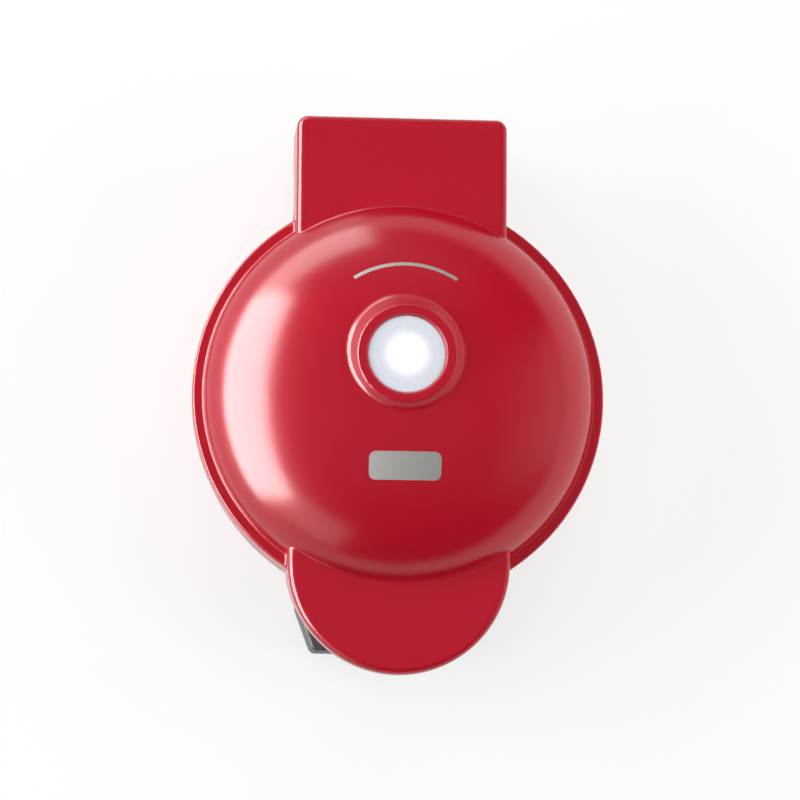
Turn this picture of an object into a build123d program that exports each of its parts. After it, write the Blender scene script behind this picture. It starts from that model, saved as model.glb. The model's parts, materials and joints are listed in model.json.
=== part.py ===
from build123d import *
import os
from math import sqrt, sin, cos, radians

# Mini waffle maker with a hinged dome lid and lift-out grid plates, in millimetres.
# X is to the right, +Y towards the hinge, +Z up. The table is z = 0 and the origin is under the
# centre of the dome.

# Overall form
rim_radius = 67.5
block_overhang = 24.0
handle_overhang = 24.0
parting_height = 42.0
parting_gap = 0.6
skirt_height = 9.7
deck_rise = 8.0
dome_rise = 31.0
flange_width = 3.8
wall = 2.2
rim_round = 1.0
seat_clearance = 0.2

# Hinge block on the lid and on the base
block_half_width = 34.6
block_corner = 3.6
deck_round = 2.4
deck_blend = 1.0
block_fillet = 1.2

# Handle on the lid
handle_radius = 36.1
handle_fillet = 2.0
scoop_inset = 6.5
scoop_run = 10.5
scoop_run_rise = 7.4
tip_thickness = 6.2
liner_thickness = 1.8

# Hinge
hinge_inset = 9.5
hinge_rise = 8.0
barrel_margin = 0.1
saddle_gap = 0.6
pin_radius = 2.0
pin_running_gap = 0.03
pin_seat_gap = 0.01
pin_end_cover = 1.2
ear_thickness = 1.9
ear_radius = 5.0
arm_thickness = 7.0
arm_ear_gap = 0.6
arm_eye_radius = 5.2
arm_beam_height = 7.4
arm_frame_gap = 0.7
arm_shoulder = 3.0
bracket_floor = 22.0
bracket_plate = 3.0
bracket_margin = 3.0
bracket_rib = 1.6

# Bowl of the base
bowl_straight = 7.0
bowl_belly_inset = 2.5
bowl_belly_height = 18.0
bowl_foot_inset = 9.0
bowl_floor_height = 6.0
floor_ring_width = 10.5
nose_margin = 1.0
nose_side_margin = 2.1
nose_taper = 5.8
nose_corner = 4.0
nose_depth = 17.0
nose_tip_depth = 13.0
nose_root_inset = 6.0
cord_bore_radius = 4.0
cord_bore_height = 17.0
cord_collar_radius = 7.0
cord_collar_depth = 2.9

# Bottom cover with its front foot, and the rubber feet
cover_bottom = 3.0
cover_gap = 0.1
cover_edge = 1.0
cover_chamfer = 0.6
cover_lip_height = 3.0
front_foot_top = 18.0
front_foot_overhang = 13.7
front_foot_tip_half = 25.6
front_foot_root_half = 38.0
front_foot_root_inset = 17.5
front_foot_corner = 2.5
front_foot_round = 1.2
front_foot_gap = 0.4
foot_radius = 6.0
foot_recess = 0.8
foot_inset = 7.6
vent_length = 26.0
vent_width = 2.2
vent_pitch = 6.0
vent_rows = 7

# Lift-out grid plates: depths are measured from the parting plane
plate_inset = 5.0
plate_sheet = 2.0
plate_rim_depth = 0.3
lip_width = 3.6
lip_step = 1.6
land_width = 7.9
cavity_depth = 6.0
cavity_wall_slope = 1.4
cell_pitch = 16.0
channel_width = 3.4
stud_height = 4.0
stud_top = 7.6
stud_edge_clearance = 0.9
groove_width = 1.0
groove_depth = 0.25
groove_inset = 1.8
flat_inset = 4.9
prong_offset = 13.2
prong_width = 5.0
prong_length = 8.4
prong_round = 1.6

# Plate frames, one in the base and one in the lid
frame_gap = 0.5
frame_top_depth = 0.5
ledge_width = 4.5
ledge_sheet = 1.5
prong_slot_gap = 0.35
bridge_wall = 0.9
bridge_half = 21.0
screw_angles = (30.0, 150.0, 215.0, 325.0)
screw_radius = 1.1
screw_head_radius = 2.0
screw_head_height = 1.2
screw_bite = 3.4
boss_radius = 2.7

# Heating under each plate
heat_gap = 0.1
pan_sheet = 1.0
pan_flange_gap = 0.3
pan_top_margin = 3.4
pan_floor_margin = 3.5
element_radius = 3.2
element_circle = 36.0
element_opening = 36.0
element_bend = 4.0
element_leg = 5.0
element_hole_gap = 0.4
element_pin_radius = 1.5
element_pin_length = 5.0
thermostat_radius = 8.0
thermostat_height = 7.0
thermostat_ear_half = 12.0
thermostat_ear_width = 8.0
tab_sheet = 0.8
tab_width = 6.0
tab_length = 6.0
tab_inset = 1.0
fuse_radius = 2.0
fuse_length = 14.0
fuse_lead_radius = 0.5
fuse_lead_length = 7.0
fuse_back = 24.0
clip_sheet = 0.8
clip_width = 6.0
clip_reach = 6.0

# Release latches, one over each plate
latch_margin = 0.5
latch_half_width = 8.0
latch_length = 7.0
latch_sheet = 3.0
latch_depth = 0.9
latch_play = 0.3
latch_travel = 2.5
latch_corner = 1.0
tongue_half_width = 6.0
tongue_sheet = 1.3
tongue_overlap = 1.6
tongue_lip_gap = 0.1
lug_half_width = 2.6
lug_length = 1.8
spring_radius = 1.9
spring_wire = 0.4
spring_length = 7.4
spring_turns = 5
latch_box_wall = 1.6
ridge_count = 3
ridge_height = 0.4
ridge_width = 0.8
ridge_end = 1.5

# Indicator window on top of the dome
lens_back = 9.0
lens_radius = 12.5
lens_gap = 0.15
lens_sheet = 1.5
lens_recess = 0.8
lens_flange = 2.0
collar_rise = 2.2
collar_lip_width = 0.6
collar_ring_width = 2.6
collar_round = 0.9
collar_foot_run = 4.6
collar_foot_drop = 6.2
collar_blend = 2.5
window_seat_drop = 5.6
seat_boss_margin = 4.1
lamp_holder_height = 8.0
lamp_board_sheet = 1.2
lamp_radius = 2.5
lamp_height = 5.0
lamp_spacing = 8.0

# Inside the base
terminal_half_width = 11.0
terminal_length = 9.0
terminal_height = 9.0
terminal_inset = 5.4
terminal_screw_radius = 1.6
terminal_screw_depth = 3.0
terminal_pitch = 6.8

# Positions worked out from the sizes above
block_reach = rim_radius + block_overhang
handle_reach = rim_radius + handle_overhang
lid_bottom = parting_height + parting_gap / 2
base_top = parting_height - parting_gap / 2
flange_top = lid_bottom + skirt_height
deck_top = flange_top + deck_rise
dome_foot_radius = rim_radius - flange_width
hinge_back = block_reach - hinge_inset
hinge_height = parting_height + hinge_rise
corner_rise = deck_top - hinge_height - deck_round
barrel_radius = sqrt((hinge_inset - deck_round) ** 2 + corner_rise**2) + deck_round + barrel_margin
saddle_radius = barrel_radius + saddle_gap
scoop_start = rim_radius - scoop_inset
bowl_foot_radius = rim_radius - bowl_foot_inset
bowl_belly_radius = rim_radius - bowl_belly_inset
cover_top = bowl_floor_height - cover_gap
front_foot_reach = rim_radius + front_foot_overhang
front_foot_root = rim_radius - front_foot_root_inset
foot_spread = (bowl_foot_radius - foot_inset) / sqrt(2)
plate_radius = rim_radius - plate_inset
plate_flat = plate_radius - flat_inset
cavity_radius = plate_radius - lip_width - land_width
lip_depth = plate_rim_depth + lip_step
ledge_depth = lip_depth + plate_sheet
cavity_floor_depth = plate_rim_depth + cavity_depth
frame_inner_radius = plate_radius + frame_gap
frame_outer_radius = rim_radius - wall - seat_clearance
frame_under_depth = ledge_depth + ledge_sheet
frame_back = plate_flat + prong_length + prong_slot_gap + bridge_wall
ledge_inner_radius = plate_radius - ledge_width
screw_circle = (ledge_inner_radius + frame_inner_radius) / 2
pan_flange_outer = ledge_inner_radius - pan_flange_gap
pan_top_radius = cavity_radius + pan_top_margin
pan_floor_radius = cavity_radius - pan_floor_margin
element_depth = cavity_floor_depth + plate_sheet + heat_gap + element_radius
pan_floor_depth = element_depth + element_radius + 2 * heat_gap
pan_back = parting_height - pan_floor_depth - pan_sheet
latch_back = rim_radius + latch_margin
latch_front = latch_back + latch_length
latch_under = latch_depth + latch_sheet
latch_box_half = latch_half_width + latch_play + latch_box_wall
spring_front = latch_back + lug_length + spring_length
spring_depth = latch_under + latch_play + spring_radius
lug_depth = spring_depth + spring_radius
latch_box_reach = spring_front + latch_box_wall
latch_box_depth = lug_depth + latch_play + latch_box_wall
nose_reach = latch_box_reach + seat_clearance + wall + nose_margin
nose_tip_half = latch_box_half + wall + nose_side_margin
nose_root_half = nose_tip_half + nose_taper
arm_middle = block_half_width - wall - ear_thickness - arm_ear_gap - arm_thickness / 2
arm_post_front = sqrt(frame_outer_radius**2 - (arm_middle - arm_thickness / 2) ** 2) + arm_frame_gap
arm_post_back = hinge_back - saddle_radius - wall
bracket_front = arm_post_front - bracket_margin
bracket_back = arm_post_back + bracket_margin
bracket_middle = (bracket_front + bracket_back) / 2
collar_top = flange_top + dome_rise + collar_rise
collar_lip_radius = lens_radius + collar_lip_width
collar_edge_radius = collar_lip_radius + collar_ring_width
lens_top = collar_top - lens_recess
window_seat = flange_top + dome_rise - wall - window_seat_drop
lens_seat = window_seat - seat_clearance / 2
lamp_holder_top = lens_seat - lens_sheet - seat_clearance / 2
lamp_board_top = lamp_holder_top - lamp_holder_height

stand = (Align.CENTER, Align.CENTER, Align.MIN)
hang = (Align.CENTER, Align.CENTER, Align.MAX)
big = 4 * (rim_radius + block_reach)


def box_between(x0, x1, y0, y1, z0, z1):
    corner = Pos((x0 + x1) / 2, (y0 + y1) / 2, (z0 + z1) / 2)
    return corner * Box(x1 - x0, y1 - y0, z1 - z0)


def side_extrusion(outline, half_width):
    # A closed outline drawn in (y, z), made solid over the width -half_width to +half_width.
    face = Plane.YZ * outline
    return extrude(face, amount=half_width, both=True)


def rod_along_x(radius, half_length, y, z):
    return Pos(0, y, z) * Rot(0, 90, 0) * Cylinder(radius, 2 * half_length)


def edges_near(part, test):
    return ShapeList([e for e in part.edges() if test(e)])


def safe_radius(radius, inset):
    return max(radius - inset, 0.3)


# The block plan runs from under the dome to the rear face, with rounded rear corners.
def block_plan(inset):
    half = block_half_width - inset
    reach = block_reach - inset
    plan = Pos(0, reach / 2) * Rectangle(2 * half, reach)
    corners = plan.vertices().group_by(Axis.Y)[-1]
    return fillet(corners, safe_radius(block_corner, inset))


# The handle plan is a straight sided tongue with a half round tip.
def handle_plan(inset):
    radius = handle_radius - inset
    centre = handle_reach - handle_radius
    tongue = Pos(0, -centre / 2) * Rectangle(2 * radius, centre)
    return tongue + Pos(0, -centre) * Circle(radius)


def round_top(part, height, radius):
    edges = edges_near(part, lambda e: abs(e.bounding_box().min.Z - height) < 0.01
                       and abs(e.bounding_box().max.Z - height) < 0.01 and abs(e.center().Y) > 1)
    return fillet(edges, radius)


def lid_block(inset, low):
    solid = Pos(0, 0, low) * extrude(block_plan(inset), amount=deck_top - inset - low)
    return round_top(solid, deck_top - inset, safe_radius(deck_round, inset))


def lid_handle(inset, low):
    solid = Pos(0, 0, low) * extrude(handle_plan(inset), amount=deck_top - inset - low)
    return round_top(solid, deck_top - inset, safe_radius(deck_round, inset))


# The dome is a half ellipse turned about the vertical axis, standing on the flange.
def dome(inset):
    foot = dome_foot_radius - inset
    level = flange_top - inset
    arc = EllipticalCenterArc((0, level), foot, dome_rise, start_angle=0, arc_size=90)
    outline = Line((0, level), (foot, level)) + arc + Line((0, level + dome_rise), (0, level))
    return revolve(Plane.XZ * make_face(outline), Axis.Z)


def lid_crown(inset, low):
    rim = Pos(0, 0, low) * Cylinder(rim_radius - inset, flange_top - inset - low, align=stand)
    if inset == 0:
        rim = fillet(rim.edges().group_by(Axis.Z)[-1], rim_round)
    return rim + dome(inset)


# Side view of the lid block: flat along the parting plane, then a barrel round the hinge axis.
def barrel_outline():
    drop = hinge_height - lid_bottom
    front = hinge_back - sqrt(barrel_radius**2 - drop**2)
    rear_drop = sqrt(barrel_radius**2 - (block_reach - hinge_back) ** 2)
    line = Polyline((0, deck_top), (0, lid_bottom), (front, lid_bottom))
    arc = ThreePointArc((front, lid_bottom), (hinge_back, hinge_height - barrel_radius),
                        (block_reach, hinge_height - rear_drop))
    back = Polyline((block_reach, hinge_height - rear_drop), (block_reach, deck_top), (0, deck_top))
    return make_face(line + arc + back)


# Side view of the handle: its underside is scooped up to a thin tip for the fingers.
def handle_outline(lift):
    start = (-scoop_start, lid_bottom + lift)
    middle = (-scoop_start - scoop_run, lid_bottom + scoop_run_rise + lift)
    tip = (-handle_reach, deck_top - tip_thickness + lift)
    line = Polyline((0, deck_top), (0, lid_bottom + lift), start)
    arc = ThreePointArc(start, middle, tip)
    back = Polyline(tip, (-handle_reach, deck_top), (0, deck_top))
    return make_face(line + arc + back)


# Small rounded webs fill the inside corners where the block and the handle leave the round rim.
def corner_web(rim_touch, side_touch, centre, radius):
    root = ((rim_touch[0] + side_touch[0]) / 2 * 0.95, (rim_touch[1] + side_touch[1]) / 2 * 0.95)
    corners = Polyline(root, rim_touch, centre, side_touch, root)
    web = make_face(corners) - Pos(*centre) * Circle(radius)
    return web + mirror(web, about=Plane.YZ)


def block_webs():
    x = block_half_width + block_fillet
    y = sqrt((rim_radius + block_fillet) ** 2 - x**2)
    share = rim_radius / (rim_radius + block_fillet)
    return corner_web((x * share, y * share), (block_half_width, y), (x, y), block_fillet)


def handle_webs():
    centre = handle_reach - handle_radius
    rim_way = rim_radius + handle_fillet
    tip_way = handle_radius + handle_fillet
    y = -(rim_way**2 - tip_way**2 + centre**2) / (2 * centre)
    x = sqrt(rim_way**2 - y**2)
    share = rim_radius / rim_way
    tip_share = handle_radius / tip_way
    side_touch = (x * tip_share, -centre + (y + centre) * tip_share)
    return corner_web((x * share, y * share), side_touch, (x, y), handle_fillet)


# The closed edge where the collar runs out on the dome.
def on_collar_foot(edge):
    spot = edge @ 0
    reach = sqrt(spot.X**2 + (spot.Y - lens_back) ** 2)
    low = collar_top - collar_foot_drop
    return collar_edge_radius < reach < collar_edge_radius + collar_foot_run and low < spot.Z < collar_top - collar_round


# The arcs where the dome rises from the flat top of the block and of the handle.
def on_deck_crease(edge):
    middle = edge @ 0.5
    return abs(middle.Z - deck_top) < 0.01 and abs(middle.X) < wall and abs(middle.Y) < dome_foot_radius


def build_lid_shell():
    outer = lid_crown(0, lid_bottom)
    foot = edges_near(outer, lambda e: e.geom_type == GeomType.CIRCLE
                      and abs(e.radius - dome_foot_radius) < 0.05)
    outer = fillet(foot, rim_round)
    collar = loft([Pos(0, lens_back, collar_top - collar_foot_drop) * Circle(collar_edge_radius + collar_foot_run),
                   Pos(0, lens_back, collar_top) * Circle(collar_edge_radius)])
    collar = fillet(collar.edges().group_by(Axis.Z)[-1], collar_round)
    outer = outer + collar
    outer = fillet(edges_near(outer, on_collar_foot), collar_blend)
    block = lid_block(0, hinge_height - saddle_radius)
    block = block & side_extrusion(barrel_outline(), big / 2)
    handle = lid_handle(0, lid_bottom)
    handle = handle & side_extrusion(handle_outline(0), big / 2)
    webs = extrude(block_webs() + handle_webs(), amount=skirt_height - rim_round)
    outer = outer + block + handle + Pos(0, 0, lid_bottom) * webs
    outer = fillet(edges_near(outer, on_deck_crease), deck_blend)
    low = hinge_height - saddle_radius - 1
    inner = lid_crown(wall, low) + lid_block(wall, low) + lid_handle(wall, low)
    shell = outer - inner
    seat_radius = lens_radius + seat_boss_margin
    seat = Pos(0, lens_back, window_seat) * Cylinder(seat_radius, dome_rise, align=stand)
    shell = shell + (seat & dome(wall / 2))
    shell = shell - Pos(0, lens_back, 0) * Cylinder(lens_radius, big, align=stand)
    funnel = loft([Pos(0, lens_back, lens_top) * Circle(lens_radius),
                   Pos(0, lens_back, collar_top) * Circle(collar_lip_radius)])
    shell = shell - funnel
    # Ears that hold the hinge pin, on the inside of both cheeks.
    cheek = block_half_width - wall
    for side in (-1, 1):
        middle = side * (cheek - ear_thickness / 2)
        ear = Pos(middle, hinge_back, hinge_height) * Rot(0, 90, 0) * Cylinder(ear_radius, ear_thickness)
        shell = shell + ear
    pin_half = block_half_width - pin_end_cover
    shell = shell - rod_along_x(pin_radius + pin_seat_gap, pin_half + pin_seat_gap, hinge_back, hinge_height)
    # Screw bosses that carry the plate frame.
    boss_low = parting_height + frame_under_depth
    boss_fill = lid_crown(wall / 2, lid_bottom)
    for angle in screw_angles:
        boss = screw_spot(angle, boss_low) * Cylinder(boss_radius, dome_rise, align=stand)
        pilot = screw_spot(angle, boss_low) * Cylinder(screw_radius + pin_seat_gap, screw_bite + seat_clearance,
                                                      align=stand)
        shell = shell + (boss & boss_fill)
        shell = shell - pilot
    return shell


def screw_spot(angle, height):
    return Pos(screw_circle * cos(radians(angle)), screw_circle * sin(radians(angle)), height)


# Bowl of the base: straight rim, belly, and a foot that turns in to a floor ring.
def bowl_form(inset, low):
    straight_low = base_top - bowl_straight
    foot = (bowl_foot_radius - inset, low)
    rim = Polyline((0, low), (0, base_top), (rim_radius - inset, base_top), (rim_radius - inset, straight_low))
    belly = ThreePointArc((rim_radius - inset, straight_low), (bowl_belly_radius - inset, bowl_belly_height), foot)
    floor = Polyline(foot, (0, low))
    return revolve(Plane.XZ * make_face(rim + belly + floor), Axis.Z)


def base_block(inset, low):
    return Pos(0, 0, low) * extrude(block_plan(inset), amount=base_top - low)


def nose_plan(inset):
    reach = nose_reach - inset
    tip = nose_tip_half - inset
    root = nose_root_half - inset
    plan = make_face(Polyline((-root, 0), (-root, -rim_radius), (-tip, -reach), (tip, -reach),
                              (root, -rim_radius), (root, 0), (-root, 0)))
    corners = plan.vertices().group_by(Axis.Y)[0]
    return fillet(corners, safe_radius(nose_corner, inset))


def base_nose(inset):
    low = base_top - nose_depth + inset
    nose = Pos(0, 0, low) * extrude(nose_plan(inset), amount=base_top - low)
    root = nose_root_inset - rim_radius
    beyond = -nose_reach - wall
    cut = make_face(Polyline((beyond, low - wall), (root, low - wall), (root, low),
                             (beyond, base_top - nose_tip_depth + inset), (beyond, low - wall)))
    return nose - side_extrusion(cut, nose_root_half + 1)


def build_base_shell():
    outer = bowl_form(0, bowl_floor_height)
    top_edge = edges_near(outer, lambda e: e.geom_type == GeomType.CIRCLE
                          and abs(e.radius - rim_radius) < 0.01 and abs(e.center().Z - base_top) < 0.01)
    outer = fillet(top_edge, rim_round)
    outer = outer + base_block(0, bowl_floor_height) + base_nose(0)
    webs = Pos(0, 0, base_top - bowl_straight) * extrude(block_webs(), amount=bowl_straight - rim_round)
    outer = outer + webs
    saddle = rod_along_x(saddle_radius, block_half_width + 1, hinge_back, hinge_height)
    trough = rod_along_x(saddle_radius + wall, block_half_width + 1, hinge_back, hinge_height)
    inner = bowl_form(wall, bowl_floor_height + wall)
    inner = inner + (base_block(wall, bowl_floor_height + wall) - trough) + base_nose(wall)
    mouth = Pos(0, 0, 0) * Cylinder(bowl_foot_radius - floor_ring_width, 2 * wall + bowl_floor_height, align=stand)
    shell = outer - saddle - inner - mouth
    # Long screw bosses for the plate frame, standing on the floor ring.
    fill = bowl_form(wall / 2, bowl_floor_height + wall / 2)
    boss_top = parting_height - frame_under_depth
    for angle in screw_angles:
        boss = screw_spot(angle, boss_top) * Cylinder(boss_radius, boss_top - bowl_floor_height, align=hang)
        pilot = screw_spot(angle, boss_top) * Cylinder(screw_radius + pin_seat_gap, screw_bite + seat_clearance,
                                                      align=hang)
        shell = shell + (boss & fill)
        shell = shell - pilot
    # Pillars under the hinge bracket.
    for side in (-1, 1):
        pillar_low = bowl_floor_height
        pillar = Pos(side * arm_middle, bracket_middle, pillar_low)
        pillar = pillar * Cylinder(boss_radius + 1, bracket_floor - pillar_low, align=stand)
        shell = shell + pillar
        shell = shell - Pos(side * arm_middle, bracket_middle, bracket_floor) * Cylinder(
            screw_radius + pin_seat_gap, 2 * screw_bite, align=hang)
    # Collar and bore where the cord leaves at the rear.
    collar = Pos(0, block_reach - wall, cord_bore_height) * Rot(-90, 0, 0) * Cylinder(
        cord_collar_radius, cord_collar_depth, align=hang)
    shell = shell + collar
    bore = Pos(0, block_reach, cord_bore_height) * Rot(-90, 0, 0) * Cylinder(
        cord_bore_radius, 4 * (wall + cord_collar_depth))
    return shell - bore


# Two goosenecks on one foot plate carry the hinge pin from inside the base.
def build_hinge_bracket():
    half_beam = arm_beam_height / 2
    outline = make_face(Polyline(
        (arm_post_front, bracket_floor), (arm_post_front, hinge_height + half_beam - arm_shoulder),
        (arm_post_front + arm_shoulder, hinge_height + half_beam), (hinge_back, hinge_height + half_beam),
        (hinge_back, hinge_height - half_beam), (arm_post_back + arm_shoulder, hinge_height - half_beam),
        (arm_post_back, hinge_height - half_beam - arm_shoulder),
        (arm_post_back, bracket_floor), (arm_post_front, bracket_floor)))
    arm = side_extrusion(outline, arm_thickness / 2)
    arm = arm + rod_along_x(arm_eye_radius, arm_thickness / 2, hinge_back, hinge_height)
    width = 2 * arm_middle + arm_thickness
    plate = box_between(-width / 2, width / 2, bracket_front, bracket_back,
                        bracket_floor, bracket_floor + bracket_plate)
    rib = box_between(-arm_middle, arm_middle, arm_post_front, arm_post_front + bracket_rib,
                      bracket_floor, bracket_floor + 3 * bracket_plate)
    bracket = plate + rib
    for side in (-1, 1):
        bracket = bracket + Pos(side * arm_middle, 0, 0) * arm
    bore = rod_along_x(pin_radius + pin_running_gap, block_half_width, hinge_back, hinge_height)
    return bracket - bore


def build_hinge_pin():
    pin = rod_along_x(pin_radius, block_half_width - pin_end_cover, hinge_back, hinge_height)
    return chamfer(pin.edges().filter_by(GeomType.CIRCLE), 0.3)


# Front foot outline seen from above, widening towards the bowl.
def front_foot_plan(inset):
    tip = front_foot_tip_half - inset
    root = front_foot_root_half - inset
    reach = front_foot_reach - inset
    plan = make_face(Polyline((-root, -front_foot_root), (-tip, -reach), (tip, -reach),
                              (root, -front_foot_root), (-root, -front_foot_root)))
    corners = plan.vertices().group_by(Axis.Y)[0]
    return fillet(corners, safe_radius(front_foot_corner, inset))


def feet_spots():
    return [(x * foot_spread, y * foot_spread) for x in (-1, 1) for y in (-1, 1)]


def build_bottom_cover():
    disc = Circle(bowl_foot_radius - cover_edge)
    rear = block_plan(cover_edge)
    sheet = disc + rear + front_foot_plan(0)
    cover = Pos(0, 0, cover_bottom) * extrude(sheet, amount=cover_top - cover_bottom)
    low_edges = cover.edges().group_by(Axis.Z)[0]
    cover = chamfer(low_edges, cover_chamfer)
    foot = Pos(0, 0, cover_top) * extrude(front_foot_plan(0), amount=front_foot_top - cover_top)
    foot = fillet(edges_near(foot, lambda e: e.center().Z > front_foot_top - 0.01
                             and e.center().Y < -front_foot_root - 1), front_foot_round)
    hollow = Pos(0, 0, cover_top) * extrude(front_foot_plan(wall), amount=front_foot_top - wall - cover_top)
    bowl = bowl_form(-front_foot_gap, bowl_floor_height - front_foot_gap)
    cover = cover + (foot - hollow - bowl - Cylinder(bowl_foot_radius, big))
    lip_outer = bowl_foot_radius - floor_ring_width - seat_clearance
    lip = Pos(0, 0, cover_top) * (Cylinder(lip_outer, cover_lip_height, align=stand)
                                  - Cylinder(lip_outer - wall, cover_lip_height, align=stand))
    cover = cover + lip
    for row in range(vent_rows):
        offset = (row - (vent_rows - 1) / 2) * vent_pitch
        slot = Pos(0, offset, 0) * extrude(SlotOverall(vent_length, vent_width), amount=cover_top + 1)
        cover = cover - slot
    for x, y in feet_spots():
        cover = cover - Pos(x, y, cover_bottom) * Cylinder(
            foot_radius + seat_clearance, foot_recess, align=stand)
    return cover


def build_foot(x, y):
    foot = Pos(x, y, 0) * Cylinder(foot_radius, cover_bottom + foot_recess, align=stand)
    return chamfer(foot.edges().group_by(Axis.Z)[0], cover_chamfer)


# Grid plate for the base: a round die casting with studs in a sunk cavity, two prongs at the
# rear and a lowered lip all round. Every depth runs down from the parting plane.
def build_plate():
    def level(depth):
        return parting_height - depth

    body = Pos(0, 0, level(ledge_depth)) * Cylinder(plate_radius - lip_width, ledge_depth - plate_rim_depth,
                                                    align=stand)
    lip = Pos(0, 0, level(ledge_depth)) * Cylinder(plate_radius, plate_sheet, align=stand)
    pan_low = level(cavity_floor_depth + plate_sheet)
    belly = loft([Pos(0, 0, pan_low) * Circle(cavity_radius - cavity_wall_slope + plate_sheet),
                  Pos(0, 0, level(ledge_depth)) * Circle(cavity_radius + plate_sheet)])
    plate = body + lip + belly
    plate = plate - box_between(-big, big, plate_flat, big, 0, level(0))
    cavity = loft([Pos(0, 0, level(cavity_floor_depth)) * Circle(cavity_radius - cavity_wall_slope),
                   Pos(0, 0, level(plate_rim_depth)) * Circle(cavity_radius)])
    plate = plate - cavity
    groove_inner = cavity_radius + groove_inset
    groove = Pos(0, 0, level(plate_rim_depth)) * (
        Cylinder(groove_inner + groove_width, groove_depth, align=hang)
        - Cylinder(groove_inner, groove_depth, align=hang))
    plate = plate - groove
    prong = Pos(0, plate_flat - prong_round, level(ledge_depth)) * extrude(
        prong_plan(), amount=plate_sheet)
    plate = plate + Pos(prong_offset, 0, 0) * prong + Pos(-prong_offset, 0, 0) * prong
    return plate + build_studs(level(cavity_floor_depth))


def prong_plan():
    length = prong_length + prong_round
    plan = Pos(0, length / 2) * Rectangle(prong_width, length)
    return fillet(plan.vertices().group_by(Axis.Y)[-1], prong_round)


def build_studs(floor_level):
    base_size = cell_pitch - channel_width
    reach = cavity_radius - cavity_wall_slope - stud_edge_clearance
    limit = Pos(0, 0, floor_level - 1) * Cylinder(reach, stud_height + 2, align=stand)
    stud = loft([Pos(0, 0, floor_level - 0.2) * Rectangle(base_size, base_size),
                 Pos(0, 0, floor_level + stud_height) * Rectangle(stud_top, stud_top)])
    count = int(reach / cell_pitch) + 1
    whole = None
    for column in range(-count, count):
        for row in range(-count, count):
            x = (column + 0.5) * cell_pitch
            y = (row + 0.5) * cell_pitch
            near = max(abs(x) - base_size / 2, 0) ** 2 + max(abs(y) - base_size / 2, 0) ** 2
            if near > (reach - channel_width) ** 2:
                continue
            far = (abs(x) + base_size / 2) ** 2 + (abs(y) + base_size / 2) ** 2
            piece = Pos(x, y, 0) * stud
            if far > reach**2:
                piece = piece & limit
            whole = piece if whole is None else whole + piece
    return whole


# Frame that carries a plate: ring, ledge, rear bridge with prong slots, and the latch housing.
def build_frame(with_nose):
    def level(depth):
        return parting_height - depth

    height = frame_under_depth - frame_top_depth
    ring = Pos(0, 0, level(frame_under_depth)) * Cylinder(frame_outer_radius, height, align=stand)
    bridge = box_between(-bridge_half, bridge_half, 0, frame_back,
                         level(frame_under_depth), level(frame_top_depth))
    housing = box_between(-latch_box_half, latch_box_half, -latch_box_reach, 0,
                          level(latch_box_depth), level(frame_top_depth))
    frame = ring + bridge + housing
    if with_nose:
        deck = extrude(nose_plan(wall + seat_clearance), amount=liner_thickness)
        frame = frame + Pos(0, 0, level(frame_top_depth + liner_thickness)) * deck
    opening = Pos(0, 0, level(ledge_depth)) * Cylinder(frame_inner_radius, big, align=stand)
    opening = opening - box_between(-big, big, plate_flat + frame_gap, big, 0, big)
    frame = frame - opening
    frame = frame - Cylinder(ledge_inner_radius, big)
    for side in (-1, 1):
        half = prong_width / 2 + prong_slot_gap
        middle = side * prong_offset
        frame = frame - box_between(middle - half, middle + half, 0, plate_flat + prong_length + prong_slot_gap,
                                    level(ledge_depth), level(lip_depth - prong_slot_gap))
    # Pocket for the latch, its travel, and the channel for the lug and the spring.
    pocket_back = latch_back - latch_play
    pocket_front = latch_front + latch_travel + latch_play
    pocket_half = latch_half_width + latch_play
    frame = frame - box_between(-pocket_half, pocket_half, -pocket_front, -pocket_back,
                                level(latch_under + latch_play), big)
    tongue_half = tongue_half_width + latch_play
    frame = frame - box_between(-tongue_half, tongue_half, -latch_back, 0, level(lip_depth), big)
    channel_half = lug_half_width + latch_play
    frame = frame - box_between(-channel_half, channel_half, -spring_front, -pocket_back,
                                level(lug_depth + latch_play), big)
    for angle in screw_angles:
        spot = screw_spot(angle, level(ledge_depth))
        frame = frame - spot * Cylinder(screw_radius + seat_clearance, big)
        frame = frame - spot * Cylinder(screw_head_radius + seat_clearance, screw_head_height / 2, align=hang)
    return frame


# Sliding latch: ribbed pad, tongue over the plate lip, and a lug that bears on the spring.
def build_latch():
    def level(depth):
        return parting_height - depth

    pad = box_between(-latch_half_width, latch_half_width, -latch_front, -latch_back,
                      level(latch_under), level(latch_depth))
    pad = fillet(pad.edges().filter_by(Axis.Z), latch_corner)
    ridge_half = latch_half_width - ridge_end
    for ridge in range(ridge_count):
        y = -latch_back - latch_length * (ridge + 1) / (ridge_count + 1)
        pad = pad + box_between(-ridge_half, ridge_half, y - ridge_width / 2, y + ridge_width / 2,
                                level(latch_under), level(latch_depth - ridge_height))
    tongue_low = lip_depth - tongue_lip_gap
    tongue = box_between(-tongue_half_width, tongue_half_width, -latch_back - latch_corner,
                         tongue_overlap - plate_radius, level(tongue_low), level(tongue_low - tongue_sheet))
    lug = box_between(-lug_half_width, lug_half_width, -latch_back - lug_length, -latch_back,
                      level(lug_depth), level(latch_under - latch_sheet / 2))
    return pad + tongue + lug


def build_spring():
    start = spring_wire - spring_front
    pitch = (spring_length - 2 * spring_wire) / spring_turns
    coil_radius = spring_radius - spring_wire
    path = Helix(pitch, spring_length - 2 * spring_wire, coil_radius)
    section = Plane(path @ 0, z_dir=path % 0) * Circle(spring_wire)
    coil = sweep(section, path=path, is_frenet=True)
    return Pos(0, start, parting_height - spring_depth) * Rot(-90, 0, 0) * coil


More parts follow.
